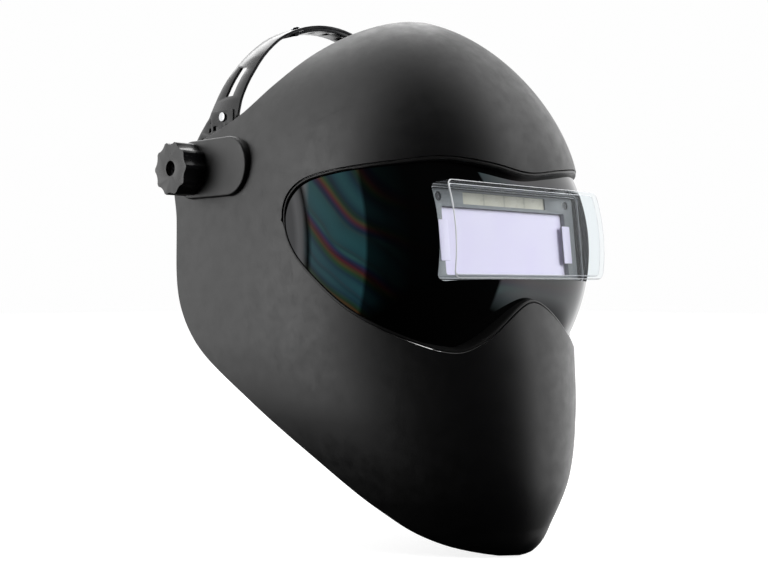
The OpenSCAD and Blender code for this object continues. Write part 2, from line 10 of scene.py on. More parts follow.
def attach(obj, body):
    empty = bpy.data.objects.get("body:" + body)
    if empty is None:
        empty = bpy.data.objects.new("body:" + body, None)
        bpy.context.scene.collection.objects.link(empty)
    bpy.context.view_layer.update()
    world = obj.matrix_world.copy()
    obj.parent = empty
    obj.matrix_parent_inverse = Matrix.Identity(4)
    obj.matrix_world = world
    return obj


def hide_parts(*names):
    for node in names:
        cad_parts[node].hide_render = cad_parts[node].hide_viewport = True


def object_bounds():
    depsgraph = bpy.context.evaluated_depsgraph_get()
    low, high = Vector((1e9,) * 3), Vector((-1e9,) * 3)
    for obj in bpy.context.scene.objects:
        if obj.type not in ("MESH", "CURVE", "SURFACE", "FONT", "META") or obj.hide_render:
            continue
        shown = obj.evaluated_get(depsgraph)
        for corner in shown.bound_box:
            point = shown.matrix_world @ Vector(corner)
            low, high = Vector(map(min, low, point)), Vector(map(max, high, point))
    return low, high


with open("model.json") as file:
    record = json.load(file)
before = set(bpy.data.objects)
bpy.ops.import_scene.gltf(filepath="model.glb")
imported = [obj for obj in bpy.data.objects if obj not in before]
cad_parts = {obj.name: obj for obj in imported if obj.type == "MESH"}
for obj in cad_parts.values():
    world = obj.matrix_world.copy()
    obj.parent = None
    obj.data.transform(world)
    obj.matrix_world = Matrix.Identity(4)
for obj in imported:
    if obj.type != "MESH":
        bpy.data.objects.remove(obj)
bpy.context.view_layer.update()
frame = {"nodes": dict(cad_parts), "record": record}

MM = 0.001
nodes_of_cad = frame["nodes"]
body_of = {n: b for b, ns in frame["record"]["behaviour"]["bodies"].items() for n in ns}
slot_of = {s["node"]: s["material_slot"] for s in frame["record"]["subparts"]}

# ---------------------------------------------------------------- the shell's surfaces, in mm
# Rows: height, half width, depth in front of the origin, centre line (Y), exponent
FACE = np.array([
    [-232, 25, 160, -111, 2.0], [-226, 41, 178, -93, 2.05], [-210, 64, 186, -72, 2.1],
    [-185, 81, 192, -47, 2.35], [-150, 97, 192, -24, 2.4], [-115, 105, 189, -11, 2.4],
    [-82, 106.5, 184, -8, 2.5], [-45, 105, 182, -11, 2.55], [-7, 104, 181, -34, 2.95]])
BROW_Z, DOME_Z, DOME_POLE, WALL_RUN, WALL = -7.0, 96.8, 67.0, 100.0, 3.0
DOME_FALL, DOME_ROUND = 1.72, 0.49  # exponents of the dome's outline
# The rear rim, rows: height, Y
RIM = np.array([
    [-230, -191], [-220, -150], [-200, -123], [-170, -88], [-140, -48], [-110, -6], [-80, 14],
    [-30, 19.5], [10, 18.5], [30, -28], [50, -52.5], [70, -72], [85, -90], [99, -112.5]])
# The opening's two edges, rows: place from the middle (0) to the tip (1), height
BROW = np.array([[-0.12, -3], [0, -6.6], [0.12, -3], [0.24, -0.4], [0.35, -3], [0.54, -7],
                 [0.71, -12], [0.87, -22], [1, -34]])
CHEEK = np.array([[-0.05, -86], [0, -81.5], [0.05, -86], [0.15, -103.5], [0.21, -109],
                  [0.30, -104.5], [0.46, -89.5], [0.64, -68.5], [0.81, -52], [1, -34]])
# The cylinder that the opening is drawn on: axis (Y), radius, angle from the front to a tip
HUB_Y, HUB_R, TIP = -75.0, 103.0, math.radians(86.9)
# The visor: half width, depth in front of the origin, centre line (Y), exponent, and its bulge
VISOR_HALF, VISOR_DEPTH, VISOR_Y, VISOR_CORNER = 101, 170, -11, 3.3
BULGE_Z, BULGE_HALF, BULGE_OUT, CORNER_FILL = -51, 56, 14, 0.6


def smooth(tab, k, x):
    """Cubic through the rows of a table, as the CAD draws it."""
    x = np.asarray(x, float)
    n = len(tab)
    i = np.clip(np.searchsorted(tab[:, 0], x, side="left") - 1, 0, n - 2)
    lo, hi = np.maximum(np.arange(n) - 1, 0), np.minimum(np.arange(n) + 1, n - 1)
    slope = (tab[hi, k] - tab[lo, k]) / (tab[hi, 0] - tab[lo, 0])
    h = tab[i + 1, 0] - tab[i, 0]
    t = (x - tab[i, 0]) / h
    return ((2 * t**3 - 3 * t**2 + 1) * tab[i, k] + (t**3 - 2 * t**2 + t) * h * slope[i]
            + (3 * t**2 - 2 * t**3) * tab[i + 1, k] + (t**3 - t**2) * h * slope[i + 1])


def section(z):
    """The shell's section at a height: half width, depth, centre line, exponent."""
    z = np.asarray(z, float)
    low = [smooth(FACE, k, np.minimum(z, BROW_Z)) for k in (1, 2, 3, 4)]
    q = np.clip((z - BROW_Z) / (DOME_Z - BROW_Z), 0, 1)
    f = (1 - q**DOME_FALL)**DOME_ROUND
    return (low[0] * f, DOME_POLE + (low[1] - DOME_POLE) * f,
            low[2] - (DOME_POLE + low[2]) * (1 - f), low[3] + (2 - low[3]) * q)


def on_section(s, z, u):
    """Point of a section. u is 0 at the front, 1 at the side, and past 1 the wall runs straight back."""
    a, d, y0, n = s
    side = np.minimum(np.abs(u), 1) * math.pi / 2
    x = np.sign(u) * a * np.sin(side)**(2 / n)
    y = y0 - (d + y0) * np.clip(np.cos(side), 0, 1)**(2 / n)
    y = np.where(np.abs(u) > 1, y0 + (np.abs(u) - 1) * WALL_RUN, y)
    return np.stack(np.broadcast_arrays(x, y, z), -1).astype(float)


def shell_at(z, u):
    return on_section(section(z), z, u)


def visor_section(z):
    """The visor bulges most at the middle of its height, and there its corners are fullest."""
    q = np.maximum(0, 1 - ((np.asarray(z, float) - BULGE_Z) / BULGE_HALF)**2)
    return (VISOR_HALF + 0 * q, VISOR_DEPTH + BULGE_OUT * q, VISOR_Y + 0 * q,
            VISOR_CORNER + CORNER_FILL * q)


def visor_at(z, u):
    return on_section(visor_section(z), z, u)


def normal_of(surface, z, u):
    n = np.cross(surface(z, u + 0.004) - surface(z, u - 0.004),
                 surface(z + 0.4, u) - surface(z - 0.4, u))
    return n / np.linalg.norm(n, axis=-1, keepdims=True)


def rim_cut(z):
    """How far in front of the section's centre line the rim lies, as a share of the way to the front."""
    _, d, y0, _ = section(z)
    return (y0 - smooth(RIM, 1, z)) / (d + y0)


def rim_u(z):
    """Section parameter at which the rim cuts the shell."""
    _, d, y0, n = section(z)
    q = rim_cut(z)
    wrapped = np.arccos(np.clip(np.maximum(q, 0)**(n / 2), 0, 1)) / (math.pi / 2)
    return np.where(q <= 0, 1 - q * (d + y0) / WALL_RUN, wrapped)


def rim_end(a, b):
    """Height between a and b at which the two sides of the rim all but meet."""
    for _ in range(40):
        m = (a + b) / 2
        a, b = (m, b) if rim_cut(m) < 0.998 else (a, m)
    return a


def u_at_angle(surface, z, phi):
    """Section parameter of the point that lies in direction phi from the opening's hub."""
    z, phi = np.broadcast_arrays(np.asarray(z, float), np.abs(phi))
    lo, hi = np.zeros(z.shape), np.full(z.shape, 1.6)
    for _ in range(44):
        m = (lo + hi) / 2
        p = surface(z, m)
        short = np.arctan2(p[..., 0], HUB_Y - p[..., 1]) < phi
        lo, hi = np.where(short, m, lo), np.where(short, hi, m)
    return (lo + hi) / 2


def edge(tab, s):
    return np.stack([HUB_R * TIP * np.sin(math.pi / 2 * s), smooth(tab, 1, np.abs(s))], -1)


def inset_edge(tab, s, inset, way):
    """Edge moved into the opening by inset. way is -1 for the upper edge and 1 for the lower one."""
    t = edge(tab, s + 0.004) - edge(tab, s - 0.004)
    t /= np.linalg.norm(t, axis=-1, keepdims=True)
    return edge(tab, s) + inset * way * np.stack([-t[..., 1], t[..., 0]], -1)


def opening_on(surface, tab, s, inset, way):
    """(height, section parameter) of the opening's edge on a surface."""
    p = inset_edge(tab, s, inset, way)
    phi = p[..., 0] / HUB_R
    return p[..., 1], np.sign(phi) * u_at_angle(surface, p[..., 1], phi)


# ---------------------------------------------------------------- mesh helpers
def finish_mesh(ob, body, angle=40):
    """Smooth shading up to the angle, and the piece's body."""
    for p in ob.data.polygons:
        p.use_smooth = True
    ob.data.set_sharp_from_angle(angle=math.radians(angle))
    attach(ob, body)
    return ob


def apply_modifiers(ob):
    bpy.context.view_layer.update()
    deps = bpy.context.evaluated_depsgraph_get()
    mesh = bpy.data.meshes.new_from_object(ob.evaluated_get(deps))
    ob.modifiers.clear()
    old = ob.data
    ob.data = mesh
    bpy.data.meshes.remove(old)


def new_object(name, verts, faces):
    mesh = bpy.data.meshes.new(name)
    mesh.from_pydata([tuple(v) for v in np.asarray(verts, float) * MM], [], faces)
    mesh.validate()
    mesh.update()
    ob = bpy.data.objects.new(name, mesh)
    bpy.context.scene.collection.objects.link(ob)
    return ob


def clean(ob, dist=1e-6):
    bm = bmesh.new()
    bm.from_mesh(ob.data)
    bmesh.ops.remove_doubles(bm, verts=bm.verts, dist=dist)
    bmesh.ops.dissolve_degenerate(bm, edges=bm.edges, dist=dist)
    bmesh.ops.recalc_face_normals(bm, faces=bm.faces)
    bm.to_mesh(ob.data)
    bm.free()
    return ob


def boolean(ob, cutter, operation):
    m = ob.modifiers.new("cut", "BOOLEAN")
    m.operation, m.object, m.solver = operation, cutter, "EXACT"
    apply_modifiers(ob)
    bpy.data.objects.remove(cutter)


def loft(name, rings):
    """Closed rings of equal length, joined by quads, with both ends filled."""
    rings = np.asarray(rings, float)
    r, n = rings.shape[:2]
    faces = [(i * n + j, i * n + (j + 1) % n, (i + 1) * n + (j + 1) % n, (i + 1) * n + j)
             for i in range(r - 1) for j in range(n)]
    faces += [tuple(range(n))[::-1], tuple(range((r - 1) * n, r * n))]
    return clean(new_object(name, rings.reshape(-1, 3), faces))


def carried(node, width, segments=2, angle=32, edge_material=None):
    """The CAD node's own shape with its edges rounded, as moulded and machined parts have them."""
    src = nodes_of_cad[node]
    ob = bpy.data.objects.new(node + "_detail", src.data.copy())
    bpy.context.scene.collection.objects.link(ob)
    dress(ob, slot_of[node])
    bm = bmesh.new()
    bm.from_mesh(ob.data)
    bmesh.ops.remove_doubles(bm, verts=bm.verts, dist=2e-6)
    bmesh.ops.dissolve_limit(bm, angle_limit=math.radians(0.6), verts=bm.verts, edges=bm.edges)
    bm.to_mesh(ob.data)
    bm.free()
    b = ob.modifiers.new("edge", "BEVEL")
    b.width, b.segments, b.limit_method = width * MM, segments, "ANGLE"
    b.angle_limit = math.radians(angle)
    if edge_material:
        ob.data.materials.append(edge_material)
        b.material = 1
    apply_modifiers(ob)
    finish_mesh(ob, body_of[node], angle)
    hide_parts(node)


# ---------------------------------------------------------------- materials
def material(name):
    m = bpy.data.materials.new(name)
    m.use_nodes = True
    t = m.node_tree
    return m, t, t.nodes["Principled BSDF"]


def link(t, a, out, b, inp):
    t.links.new(a.outputs[out], b.inputs[inp])


def coords(t, scale=(1, 1, 1), turn=(0, 0, 0)):
    c = t.nodes.new("ShaderNodeTexCoord")
    m = t.nodes.new("ShaderNodeMapping")
    m.inputs["Scale"].default_value = scale
    m.inputs["Rotation"].default_value = turn
    link(t, c, "Object", m, "Vector")
    return m


def noise(t, scale, detail=3.0, rough=0.5, vec=None):
    n = t.nodes.new("ShaderNodeTexNoise")
    n.inputs["Scale"].default_value = scale
    n.inputs["Detail"].default_value = detail
    n.inputs["Roughness"].default_value = rough
    link(t, vec or coords(t), "Vector", n, "Vector")
    return n


def ramp(t, src, out, stops):
    """Colour ramp. A stop is a place and either a grey or a colour."""
    r = t.nodes.new("ShaderNodeValToRGB")
    while len(r.color_ramp.elements) < len(stops):
        r.color_ramp.elements.new(0.5)
    for e, (pos, col) in zip(r.color_ramp.elements, stops):
        e.position = pos
        e.color = (*col, 1) if hasattr(col, "__len__") else (col, col, col, 1)
    link(t, src, out, r, "Fac")
    return r


def paint(t, shader, socket, src, stops):
    """Feeds a socket from a texture's factor through a colour ramp."""
    link(t, ramp(t, src, "Fac", stops), "Color", shader, socket)


def wave(t, direction, scale, vec=None):
    w = t.nodes.new("ShaderNodeTexWave")
    w.wave_type, w.bands_direction, w.wave_profile = "BANDS", direction, "SIN"
    w.inputs["Scale"].default_value = scale
    link(t, vec or coords(t), "Vector", w, "Vector")
    return w


def mix_colour(t, blend="MIX"):
    n = t.nodes.new("ShaderNodeMix")
    n.data_type, n.blend_type = "RGBA", blend
    return n


def mix_shaders(t, factor, out, low, high, output):
    """Shows low where the factor is 0 and high where it is 1."""
    mix = t.nodes.new("ShaderNodeMixShader")
    link(t, factor, out, mix, "Fac")
    t.links.new(low.outputs[0], mix.inputs[1])
    t.links.new(high.outputs[0], mix.inputs[2])
    t.links.new(mix.outputs[0], output.inputs["Surface"])


def bump(t, bsdf, src, out, strength, distance, below=None):
    b = t.nodes.new("ShaderNodeBump")
    b.inputs["Strength"].default_value = strength
    b.inputs["Distance"].default_value = distance
    link(t, src, out, b, "Height")
    if below:
        link(t, below, "Normal", b, "Normal")
    link(t, b, "Normal", bsdf, "Normal")
    return b


def moulded(name, dark, light, rough, grain=2200.0, depth=0.00004, strength=0.3, patch=14.0,
            scratches=True, specular=0.5):
    """Moulded or cast surface: mottled colour, a fine grain, and rough patches where it is handled."""
    m, t, b = material(name)
    paint(t, b, "Base Color", noise(t, patch, 4, 0.6), [(0.3, dark), (0.7, light)])
    paint(t, b, "Roughness", noise(t, patch * 9, 5, 0.65), [(0.25, rough - 0.07), (0.75, rough + 0.07)])
    first = bump(t, b, noise(t, grain, 2, 0.5), "Fac", strength, depth)
    if scratches:
        s = noise(t, 90, 2, 0.7, coords(t, (1, 14, 1), (0.4, 0.9, 0.2)))
        h = ramp(t, s, "Fac", [(0.0, 1.0), (0.32, 1.0), (0.36, 0.0), (1.0, 0.0)])
        bump(t, b, h, "Color", 0.05, 0.00002, first)
    b.inputs["Specular IOR Level"].default_value = specular
    return m


def brushed(name, dark, light, rough, stretch=(1, 40, 1)):
    """Metal with fine lines, packed closest along the axis that has the largest stretch."""
    m, t, b = material(name)
    n = noise(t, 160, 4, 0.7, coords(t, stretch))
    paint(t, b, "Base Color", n, [(0.3, dark), (0.7, light)])
    paint(t, b, "Roughness", n, [(0.2, rough - 0.08), (0.8, rough + 0.1)])
    bump(t, b, n, "Fac", 0.15, 0.00002)
    b.inputs["Metallic"].default_value = 1.0
    return m


def clear_plastic(name, tint, edge_alpha, face_alpha, rough=0.04):
    """Clear sheet: see-through face on, and a little brighter where it is seen edge on."""
    m, t, b = material(name)
    paint(t, b, "Roughness", noise(t, 60, 4, 0.6), [(0.3, rough), (0.8, rough + 0.08)])
    paint(t, b, "Base Color", noise(t, 30, 3), [(0.3, tint), (0.7, [min(1, v * 1.04) for v in tint])])
    lw = t.nodes.new("ShaderNodeLayerWeight")
    lw.inputs["Blend"].default_value = 0.3
    a = ramp(t, lw, "Facing", [(0.0, face_alpha), (0.6, face_alpha + 0.03), (1.0, edge_alpha)])
    clear = t.nodes.new("ShaderNodeBsdfTransparent")
    clear.inputs["Color"].default_value = (0.97, 0.985, 0.99, 1)
    mix_shaders(t, a, "Color", clear, b, t.nodes["Material Output"])
    return m


def coat_streaks(t, scale, turn, warp):
    """Slanting bands, bent a little."""
    w = wave(t, "Z", scale, coords(t, (1, 1, 1), (math.radians(turn), 0, 0)))
    w.inputs["Distortion"].default_value = warp
    w.inputs["Detail"].default_value = 2.0
    w.inputs["Detail Scale"].default_value = 0.9
    w.inputs["Detail Roughness"].default_value = 0.6
    return w


def coat_colour(t):
    """Wide rainbow bands under thinner pale ones, calmer in patches."""
    bands = ramp(t, coat_streaks(t, 7.0, -38, 3.2), "Fac", [
        (0.0, (0.10, 0.50, 0.58)), (0.22, (0.16, 0.62, 0.60)), (0.36, (0.06, 0.16, 0.42)),
        (0.46, (0.30, 0.06, 0.30)), (0.56, (0.62, 0.10, 0.12)), (0.66, (0.50, 0.34, 0.08)),
        (0.76, (0.10, 0.34, 0.14)), (0.88, (0.05, 0.22, 0.34)), (1.0, (0.12, 0.52, 0.60))])
    thin = ramp(t, coat_streaks(t, 16.0, -43, 4.0), "Fac", [
        (0.0, (0.95, 1.0, 1.0)), (0.45, (0.55, 0.62, 0.75)), (0.6, (0.85, 0.45, 0.55)),
        (0.8, (0.35, 0.40, 0.50)), (1.0, (1.0, 1.0, 1.0))])
    both = mix_colour(t, "MULTIPLY")
    both.inputs["Factor"].default_value = 0.75
    t.links.new(bands.outputs["Color"], both.inputs["A"])
    t.links.new(thin.outputs["Color"], both.inputs["B"])
    calm = mix_colour(t)
    paint(t, calm, "Factor", noise(t, 12, 2, 0.5), [(0.42, 0.0), (0.7, 0.6)])
    t.links.new(both.outputs["Result"], calm.inputs["A"])
    calm.inputs["B"].default_value = (0.14, 0.30, 0.32, 1)
    return calm


def smoked_lens(name):
    """Dark lens whose thin coat gives slanting streaks of colour to what it reflects."""
    m, t, b = material(name)
    # the coat loses its colour towards the tips and on the left half of the face
    xyz = t.nodes.new("ShaderNodeSeparateXYZ")
    link(t, coords(t), "Vector", xyz, "Vector")
    tint = coat_colour(t)
    for axis, coloured, grey, most in (("Y", -0.101, -0.096, 1.0), ("X", -0.045, 0.0, 0.85)):
        fade = t.nodes.new("ShaderNodeMapRange")
        fade.inputs["From Min"].default_value = coloured
        fade.inputs["From Max"].default_value = grey
        fade.inputs["To Max"].default_value = most
        link(t, xyz, axis, fade, "Value")
        mix = mix_colour(t)
        link(t, fade, "Result", mix, "Factor")
        t.links.new(tint.outputs["Result"], mix.inputs["A"])
        mix.inputs["B"].default_value = (0.95, 0.96, 1.0, 1)
        tint = mix
    t.links.new(tint.outputs["Result"], b.inputs["Specular Tint"])
    b.inputs["Specular IOR Level"].default_value = 0.5
    paint(t, b, "Base Color", noise(t, 8, 2), [(0.3, 0.0010), (0.7, 0.0018)])
    paint(t, b, "Roughness", noise(t, 140, 3), [(0.3, 0.02), (0.8, 0.05)])
    bump(t, b, noise(t, 26, 2), "Fac", 0.015, 0.0004)
    return m


def filter_glass(name):
    """The filter's coat, lavender and a little uneven."""
    m, t, b = material(name)
    paint(t, b, "Base Color", noise(t, 22, 3, 0.5), [(0.3, (0.80, 0.72, 0.95)), (0.7, (0.86, 0.80, 0.97))])
    paint(t, b, "Roughness", noise(t, 180, 2), [(0.3, 0.12), (0.8, 0.22)])
    return m


def solar_panel(name):
    """Amorphous cell: warm grey with thin dark lines between its strips."""
    m, t, b = material(name)
    paint(t, b, "Base Color", wave(t, "X", 17.0), [
        (0.0, (0.46, 0.44, 0.36)), (0.03, (0.60, 0.57, 0.47)), (1.0, (0.66, 0.63, 0.53))])
    paint(t, b, "Roughness", noise(t, 300, 2), [(0.3, 0.25), (0.8, 0.4)])
    return m


def foam_cloth(name, dark, light):
    """Knitted cloth over foam."""
    m, t, b = material(name)
    knit = t.nodes.new("ShaderNodeTexVoronoi")
    knit.inputs["Scale"].default_value = 900.0
    link(t, coords(t), "Vector", knit, "Vector")
    bump(t, b, knit, "Distance", 0.7, 0.0004)
    paint(t, b, "Base Color", noise(t, 70, 4, 0.6), [(0.3, dark), (0.7, light)])
    paint(t, b, "Roughness", noise(t, 200, 2), [(0.2, 0.85), (0.8, 0.98)])
    b.inputs["Sheen Weight"].default_value = 0.35
    return m


def board(name):
    """Green circuit board with a grid of gold tracks."""
    m, t, b = material(name)
    tracks = t.nodes.new("ShaderNodeTexBrick")
    for socket, value in (("Scale", 160.0), ("Mortar Size", 0.05), ("Color1", (0.012, 0.09, 0.035, 1)),
                          ("Color2", (0.016, 0.11, 0.045, 1)), ("Mortar", (0.35, 0.27, 0.10, 1))):
        tracks.inputs[socket].default_value = value
    link(t, coords(t), "Vector", tracks, "Vector")
    link(t, tracks, "Color", b, "Base Color")
    paint(t, b, "Roughness", noise(t, 90, 2), [(0.3, 0.3), (0.8, 0.45)])
    return m


MATS = {
    "shell": moulded("shell_black", (0.0026, 0.0026, 0.0028), (0.0040, 0.0040, 0.0044), 0.44,
                     grain=1500, depth=0.00005, strength=0.35, specular=0.85),
    "visor": smoked_lens("visor_lens"),
    "bezel": moulded("seal_rubber", (0.006, 0.006, 0.006), (0.010, 0.010, 0.010), 0.38),
    "adf_black": moulded("filter_black", (0.010, 0.010, 0.011), (0.018, 0.018, 0.019), 0.36),
    "clear_cover": clear_plastic("clear_cover", (0.92, 0.95, 0.97), edge_alpha=0.22, face_alpha=0.02),
    "case_grey": moulded("filter_grey", (0.20, 0.21, 0.22), (0.25, 0.26, 0.27), 0.32),
    "filter_glass": filter_glass("filter_lavender"),
    "solar": solar_panel("solar_cell"),
    "sensor": moulded("sensor_glass", (0.010, 0.010, 0.014), (0.02, 0.02, 0.026), 0.12,
                      scratches=False),
    "pcb": board("circuit_board"),
    "dial": moulded("dial_grey", (0.035, 0.037, 0.042), (0.055, 0.058, 0.063), 0.42),
    "button_red": moulded("button_red", (0.30, 0.02, 0.012), (0.38, 0.03, 0.02), 0.38),
    "bushing": moulded("bushing_grey", (0.030, 0.031, 0.033), (0.045, 0.046, 0.048), 0.40),
    "steel": brushed("steel", (0.42, 0.43, 0.45), (0.60, 0.61, 0.63), 0.30),
    "spring_steel": brushed("spring_steel", (0.45, 0.46, 0.48), (0.62, 0.63, 0.65), 0.26, (30, 1, 1)),
    "fibre": moulded("fibre_washer", (0.10, 0.05, 0.025), (0.15, 0.08, 0.04), 0.7),
    "gear_plastic": moulded("strap_black", (0.012, 0.012, 0.013), (0.020, 0.020, 0.022), 0.22,
                            grain=900, strength=0.15),
    "stud": brushed("stud_chrome", (0.62, 0.63, 0.64), (0.75, 0.76, 0.77), 0.14),
    "knob": moulded("knob_black", (0.006, 0.006, 0.0065), (0.010, 0.010, 0.011), 0.30, grain=2600,
                    specular=0.8),
    "insert": brushed("knob_insert", (0.10, 0.10, 0.105), (0.16, 0.16, 0.17), 0.34),
    "pinion": moulded("pinion_white", (0.45, 0.45, 0.42), (0.55, 0.55, 0.52), 0.42),
    "foam": foam_cloth("foam_cloth", (0.012, 0.013, 0.015), (0.024, 0.025, 0.028)),
}


def dress(ob, slot):
    ob.data.materials.clear()
    ob.data.materials.append(MATS[slot])


for node_name, ob in nodes_of_cad.items():
    dress(ob, slot_of[node_name])

# ---------------------------------------------------------------- shell
top, bottom = rim_end(60.0, 96.0), rim_end(-200.0, -231.0)
TIP_S = 0.985  # the edges' last place, where they are joined into a point
LIP = 0.9      # rounding of the shell's free edges
PAD_X, PAD_R, PAD_FRONT, PAD_SOFT = 107, 18, 36, 1.6
BOSS_X, BOSS_R, BOSS_SOFT = 95.3, 17.5, 0.6
PAD_ROOT, BOSS_ROOT = 102.2, 101.5  # where the pad and the boss start, inside the wall
PIVOT_HOLE_R = 9.3


def ease(n):
    """n + 1 places from 0 to 1, a little closer together at both ends."""
    v = np.linspace(0, 1, n + 1)
    return 0.55 * (1 - np.cos(math.pi * v)) / 2 + 0.45 * v


def unit(v):
    return v / np.maximum(np.linalg.norm(v, axis=-1, keepdims=True), 1e-9)


def join_sheets(surface, sheets, weld):
    """Points, normals and faces of grids of (height, parameter), welded where they meet."""
    zs, us, quads, base = [], [], [], 0
    for z, u in sheets:
        r, n = z.shape
        i, j = np.meshgrid(np.arange(r - 1), np.arange(n - 1), indexing="ij")
        k = (base + i * n + j).ravel()
        quads.append(np.stack([k, k + 1, k + n + 1, k + n], -1))
        zs.append(z.ravel())
        us.append(u.ravel())
        base += r * n
    z, u, quads = np.concatenate(zs), np.concatenate(us), np.concatenate(quads)
    p = surface(z, u)
    keys = {}
    cells = np.round(p / weld).astype(int).tolist()
    same = np.array([keys.setdefault(tuple(q), i) for i, q in enumerate(cells)])
    faces = []
    for q in same[quads]:
        f = [int(v) for i, v in enumerate(q) if v != q[i - 1]]
        if len(set(f)) == len(f) > 2:
            faces.append(f)
    return p, normal_of(surface, z, u), faces


def free_loops(faces):
    """Loops of points along the edges that only one face has."""
    edges = dict.fromkeys((a, b) for f in faces for a, b in zip(f, f[1:] + f[:1]))
    free = {a: b for a, b in edges if (b, a) not in edges}
    loops = []
    while free:
        start, at = next(iter(free.items()))
        del free[start]
        loop = [start]
        while at != start and at in free:
            loop.append(at)
            at = free.pop(at)
        loops.append(loop)
    return loops


def lip_rings(q, normal, away, r, thick):
    """Rounded edge of a wall, from its outer face at q round to its inner face."""
    rings = []
    for a in np.linspace(0, math.pi / 2, 4):
        rings.append(q - r * (1 - math.sin(a)) * away - r * (1 - math.cos(a)) * normal)
    for a in np.linspace(math.pi / 2, 0, 4):
        rings.append(q - r * (1 - math.sin(a)) * away - (thick - r * (1 - math.cos(a))) * normal)
    return rings


def walled(name, surface, sheets, thick, lip, weld=0.02):
    """Wall under a surface. sheets are grids of (height, parameter) that join along edges they share;
    every free edge gets a rounded lip that ends where the grid ends."""
    p, n_at, faces = join_sheets(surface, sheets, weld)
    verts, inner, beside = list(p), {}, {}
    for f in faces:
        for v in f[::-1]:
            beside.setdefault(v, []).append(f)
            if v not in inner:
                inner[v] = len(verts)
                verts.append(p[v] - thick * n_at[v])
    out = faces + [[inner[v] for v in f[::-1]] for f in faces]
    for loop in free_loops(faces):
        q, normal = p[loop], n_at[loop]
        along = unit(np.roll(q, -1, 0) - np.roll(q, 1, 0))
        away = unit(np.cross(along, normal))
        middles = [np.mean([p[f].mean(axis=0) for f in beside[v]], axis=0) for v in loop]
        inside = np.array(middles) - q
        away *= -np.sign((away * inside).sum(-1, keepdims=True))
        room = np.abs((away * inside).sum(-1, keepdims=True))
        rings = lip_rings(q, normal, away, np.minimum(lip, 0.8 * room), thick)
        for v, first, last in zip(loop, rings[0], rings[-1]):
            verts[v], verts[inner[v]] = first, last
        ids = [loop]
        for ring in rings[1:-1]:
            ids.append(list(range(len(verts), len(verts) + len(loop))))
            verts.extend(list(ring))
        ids.append([inner[v] for v in loop])
        for one, two in zip(ids, ids[1:]):
            for k in range(len(loop)):
                n = (k + 1) % len(loop)
                out.append([one[n], one[k], two[k], two[n]])
    return clean(new_object(name, verts, out))


def exact_normals(ob, section_of, reach=0.03):
    """The surface's own normals on its outer face, so that holes and pads don't disturb its sheen."""
    mesh = ob.data
    co = np.empty(len(mesh.vertices) * 3)
    mesh.vertices.foreach_get("co", co)
    co = co.reshape(-1, 3) / MM

    def level(q):
        a, d, y0, n = section_of(q[:, 2])
        return (np.abs(q[:, 0]) / a)**n + (np.maximum(y0 - q[:, 1], 0) / (d + y0))**n - 1

    grad = np.stack([(level(co + e) - level(co - e)) / 0.1 for e in np.eye(3) * 0.05], -1)
    size = np.linalg.norm(grad, axis=-1)
    on = np.abs(level(co)) < reach * np.maximum(size, 1e-9)
    grad = grad / np.maximum(size, 1e-9)[:, None]
    normals = [v.vector.copy() for v in mesh.corner_normals]
    for poly in mesh.polygons:
        ids = list(poly.vertices)
        if not on[ids].all():
            continue
        pn = np.array(poly.normal)
        for k in poly.loop_indices:
            g = grad[mesh.loops[k].vertex_index]
            if abs(g @ pn) > 0.8:
                normals[k] = Vector(g * np.sign(g @ pn))
    mesh.normals_split_custom_set(normals)


def shell_skin():
    """Skin as rows that follow the opening, so its edge is a clean line of the mesh."""
    s = np.sin(np.linspace(-1, 1, 181) * math.asin(0.999)) / 0.999 * TIP_S
    z_up, u_up = opening_on(shell_at, BROW, s, 0, -1)
    z_lo, u_lo = opening_on(shell_at, CHEEK, s, 0, 1)
    # the two edges meet in one point at each tip
    for i in (0, -1):
        z_up[i] = z_lo[i] = (z_up[i] + z_lo[i]) / 2
        u_up[i] = u_lo[i] = (u_up[i] + u_lo[i]) / 2
    t_up, t_lo = u_up / rim_u(z_up), u_lo / rim_u(z_lo)
    side = np.linspace(0, 1, 17)[1:]
    t_side = abs(t_up[-1]) + (1 - abs(t_up[-1])) * side
    k = len(side)

    def grid(t, z, end, rows):
        t = np.concatenate([-t_side[::-1], t, t_side])[None]
        z = np.concatenate([np.full(k, z[0]), z, np.full(k, z[-1])])[None]
        z = z + (end - z) * ease(rows)[:, None]
        return z, t * rim_u(z)

    z_down, u_down = grid(t_lo, z_lo, bottom, 88)
    return walled("shell_skin", shell_at, [grid(t_up, z_up, top, 64), (z_down[::-1], u_down[::-1])],
                  WALL, LIP)


def stadium(r, front, n=48):
    """Outline in (y, z) round the tilt axis, with its second centre forward by front."""
    a = np.linspace(-math.pi / 2, math.pi / 2, n)
    rear = np.stack([r * np.cos(a), r * np.sin(a)], -1)
    fore = np.stack([-front - r * np.cos(a), -r * np.sin(a)], -1)
    return np.concatenate([rear, fore])


def rounded_prism(name, outline_at, x0, x1, soft, side=1, steps=5):
    """Solid along X from x0 to x1 with its outer edge rounded. outline_at(inset) gives (y, z)."""
    rings = [(x0, 0.0)] + [(x1 - soft * (1 - math.sin(q)), soft * (1 - math.cos(q)))
                           for q in np.linspace(0, math.pi / 2, steps + 1)]
    pts = [np.column_stack([np.full(len(outline_at(i)), side * x), outline_at(i)]) for x, i in rings]
    return loft(name, pts)


shell = shell_skin()
for side in (1, -1):
    pad = rounded_prism("pad", lambda i: stadium(PAD_R - i, PAD_FRONT), PAD_ROOT, PAD_X, PAD_SOFT, side)
    boolean(shell, pad, "UNION")
    boss = rounded_prism("boss", lambda i: stadium(BOSS_R - i, 0), -BOSS_ROOT, -BOSS_X, BOSS_SOFT, -side)
    boolean(shell, boss, "UNION")
    hole = rounded_prism("hole", lambda i: stadium(PIVOT_HOLE_R - i, 0), 90, 112, 0.01, side)
    boolean(shell, hole, "DIFFERENCE")
finish_mesh(shell, "shell", 32)
exact_normals(shell, section)
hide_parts("shell")
dress(shell, "shell")

